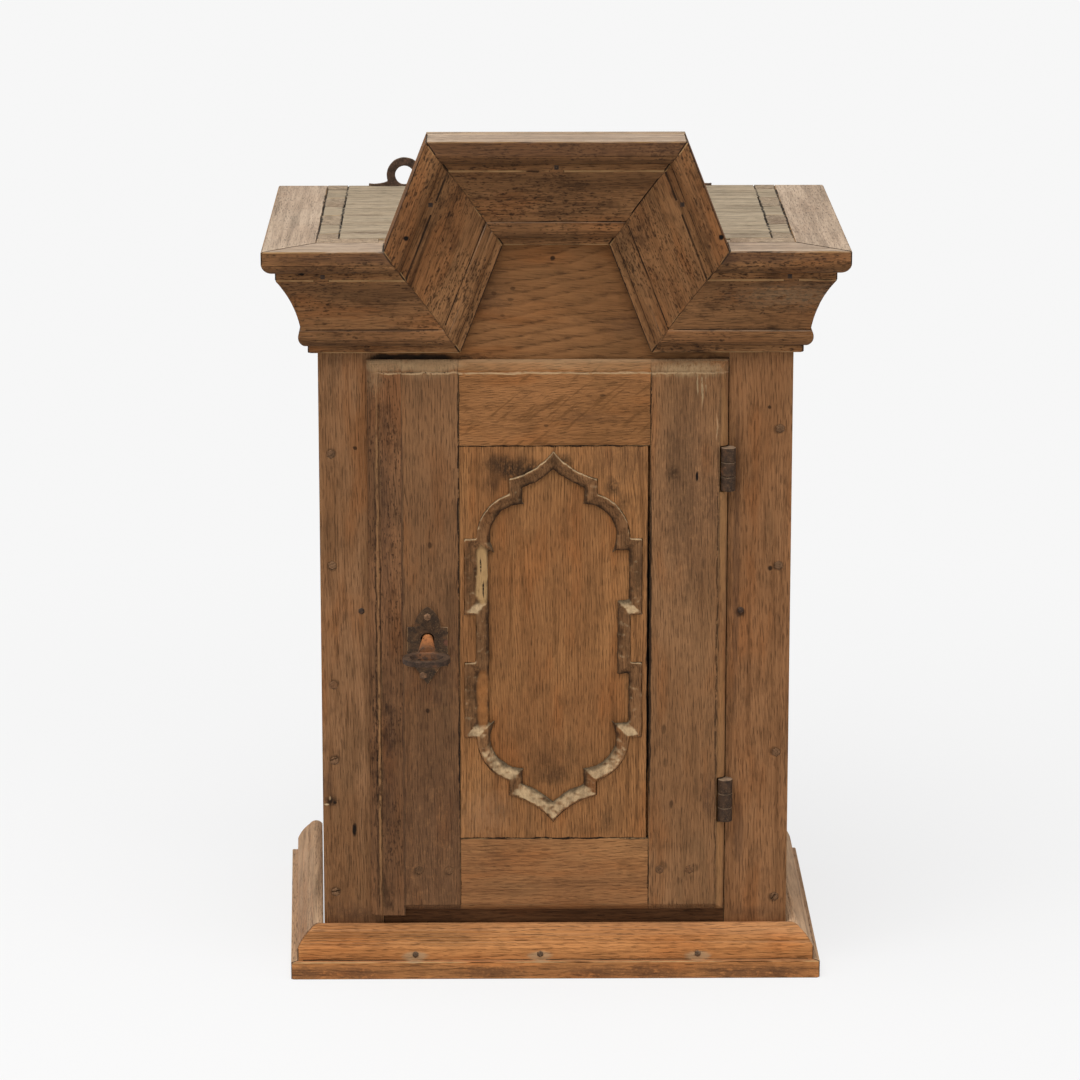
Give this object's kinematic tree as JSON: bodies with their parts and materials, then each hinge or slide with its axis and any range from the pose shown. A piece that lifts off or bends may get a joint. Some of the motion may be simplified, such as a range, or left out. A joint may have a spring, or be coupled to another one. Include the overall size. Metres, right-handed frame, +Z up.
{
  "type": "wall cabinet",
  "caption": "Old oak hanging cupboard with a trapezoid pediment cornice, a moulded base, a lipped door with a sunk cartouche panel, a lock with its key, and iron hanging lugs.",
  "frame": {"origin": "middle of the bounding box on the floor plane under the base moulding", "axes": "+Z up, +Y from the door towards the wall, +X to the right as one faces the door"},
  "size_m": [0.55, 0.4306, 0.8225],
  "materials": {
    "carcass_oak": "worn dry oak, pores and nail stains",
    "moulding_oak": "worn oak with dark worm spots",
    "inner_oak": "raw unfinished oak",
    "door_oak": "worn dry oak",
    "old_iron": "dark forged iron",
    "rusty_iron": "brown rusted iron"
  },
  "bodies": {
    "carcass": {"top_board": "carcass_oak", "bottom_board": "inner_oak", "side_left": "carcass_oak", "side_right": "carcass_oak", "back_board_left": "inner_oak", "back_board_middle": "inner_oak", "back_board_right": "inner_oak", "shelf": "inner_oak", "shelf_batten_left": "inner_oak", "shelf_batten_right": "inner_oak", "frieze_board": "carcass_oak", "frame_bottom_rail": "carcass_oak", "frame_stile_left": "carcass_oak", "frame_stile_right": "carcass_oak", "cornice_front_left": "moulding_oak", "cornice_rake_left": "moulding_oak", "cornice_top": "moulding_oak", "cornice_rake_right": "moulding_oak", "cornice_front_right": "moulding_oak", "cornice_return_left": "moulding_oak", "cornice_return_right": "moulding_oak", "base_front": "moulding_oak", "base_return_left": "moulding_oak", "base_return_right": "moulding_oak", "frame_pegs": "carcass_oak", "hinge_frame_leaf_upper": "old_iron", "hinge_frame_leaf_lower": "old_iron", "hinge_pins": "old_iron", "hinge_frame_nails": "old_iron", "hanging_lug_left": "old_iron", "hanging_lug_right": "old_iron", "lug_nails": "old_iron", "shelf_nails": "old_iron", "base_nails": "old_iron", "cornice_nails": "old_iron", "back_nails": "old_iron", "batten_nails": "old_iron"},
    "door": {"door_edge_strip": "door_oak", "door_stile_left": "door_oak", "door_stile_right": "door_oak", "door_top_rail": "door_oak", "door_bottom_rail": "door_oak", "door_panel": "door_oak", "panel_moulding": "door_oak", "door_pegs": "door_oak", "hinge_door_leaf_upper": "old_iron", "hinge_door_leaf_lower": "old_iron", "hinge_door_nails": "old_iron", "escutcheon": "old_iron", "escutcheon_nails": "old_iron", "lock_case": "old_iron", "lock_spring": "old_iron", "lock_nails": "old_iron"},
    "key": {"key": "rusty_iron"},
    "bolt": {"lock_bolt": "old_iron"}
  },
  "joints": [
    {"name": "door_swing", "type": "hinge", "parent": "carcass", "child": "door", "pos_m": [0.164, -0.11925, 0.338], "axis": [0, 0, 1], "range_deg": [0, 170]},
    {"name": "key_turn", "type": "hinge", "parent": "door", "child": "key", "pos_m": [-0.1227, -0.11175, 0.3365], "axis": [0, -1, 0], "range_deg": [0, 180]},
    {"name": "bolt_throw", "type": "slide", "parent": "door", "child": "bolt", "axis": [-1, 0, 0], "range_m": [0, 0.01]}
  ],
  "couplings": [
    {"joint": "bolt_throw", "follows": "key_turn", "m_per_rad": 0.0031831}
  ]
}
